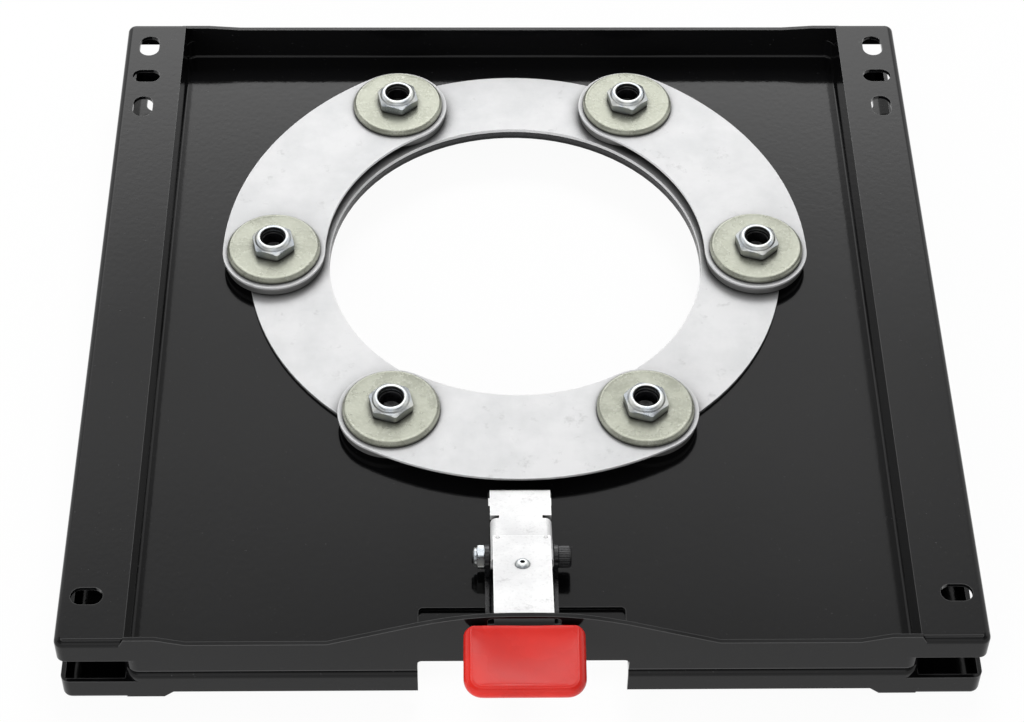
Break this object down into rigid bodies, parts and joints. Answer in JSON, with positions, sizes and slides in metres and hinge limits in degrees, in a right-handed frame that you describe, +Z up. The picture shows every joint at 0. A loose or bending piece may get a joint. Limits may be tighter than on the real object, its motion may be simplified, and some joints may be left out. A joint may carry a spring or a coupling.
{
  "type": "swivel seat base",
  "caption": "Low seat swivel of two pressed steel trays that turn on a clamped ring, with a spring latch worked by a hand lever.",
  "frame": {"origin": "middle of the lower bolt slot rectangle, on the plane of the soles; the swivel axis stands 53 mm behind it", "axes": "+X to the right seen from the lever end, +Y away from the lever, +Z up"},
  "size_m": [0.4, 0.4258, 0.0632],
  "materials": {
    "black_paint": "gloss black paint",
    "black_steel": "satin black",
    "zinc_plate": "pale zinc plate, faintly smudged",
    "aged_zinc": "greenish beige passivated zinc",
    "bright_zinc": "bright bluish zinc",
    "spring_steel": "drawn spring wire",
    "black_nylon": "black nylon",
    "red_dip": "smooth dipped vinyl"
  },
  "bodies": {
    "base": {"base_tray": "black_paint", "spacer_ring": "black_steel", "retaining_ring": "zinc_plate", "clamp_segment_1": "zinc_plate", "clamp_segment_2": "zinc_plate", "clamp_segment_3": "zinc_plate", "clamp_bolt_1": "black_steel", "clamp_bolt_2": "black_steel", "clamp_bolt_3": "black_steel", "clamp_bolt_4": "black_steel", "clamp_bolt_5": "black_steel", "clamp_bolt_6": "black_steel", "spacer_disc_1": "zinc_plate", "spacer_disc_2": "zinc_plate", "spacer_disc_3": "zinc_plate", "spacer_disc_4": "zinc_plate", "spacer_disc_5": "zinc_plate", "spacer_disc_6": "zinc_plate", "clamp_washer_1": "aged_zinc", "clamp_washer_2": "aged_zinc", "clamp_washer_3": "aged_zinc", "clamp_washer_4": "aged_zinc", "clamp_washer_5": "aged_zinc", "clamp_washer_6": "aged_zinc", "lock_nut_1": "bright_zinc", "lock_nut_2": "bright_zinc", "lock_nut_3": "bright_zinc", "lock_nut_4": "bright_zinc", "lock_nut_5": "bright_zinc", "lock_nut_6": "bright_zinc", "nut_insert_1": "black_nylon", "nut_insert_2": "black_nylon", "nut_insert_3": "black_nylon", "nut_insert_4": "black_nylon", "nut_insert_5": "black_nylon", "nut_insert_6": "black_nylon"},
    "seat": {"seat_tray": "black_paint", "pivot_bracket": "black_steel", "bracket_rivet_1": "black_steel", "bracket_rivet_2": "black_steel", "pivot_bolt": "black_steel", "pivot_nut": "bright_zinc", "return_spring": "spring_steel"},
    "lever": {"latch_plate": "zinc_plate", "release_lever": "zinc_plate", "pop_rivet": "bright_zinc", "handle_grip": "red_dip"}
  },
  "joints": [
    {"name": "swivel", "type": "hinge", "parent": "base", "child": "seat", "pos_m": [0, 0.053, 0.0182], "axis": [0, 0, 1], "range_deg": [-180, 180]},
    {"name": "lever_pivot", "type": "hinge", "parent": "seat", "child": "lever", "pos_m": [0, -0.1354, 0.03], "axis": [1, 0, 0], "range_deg": [-3.2, 6], "stiffness_Nm_per_rad": 1.5, "springref_deg": -0.69, "deforming": ["return_spring"]}
  ]
}
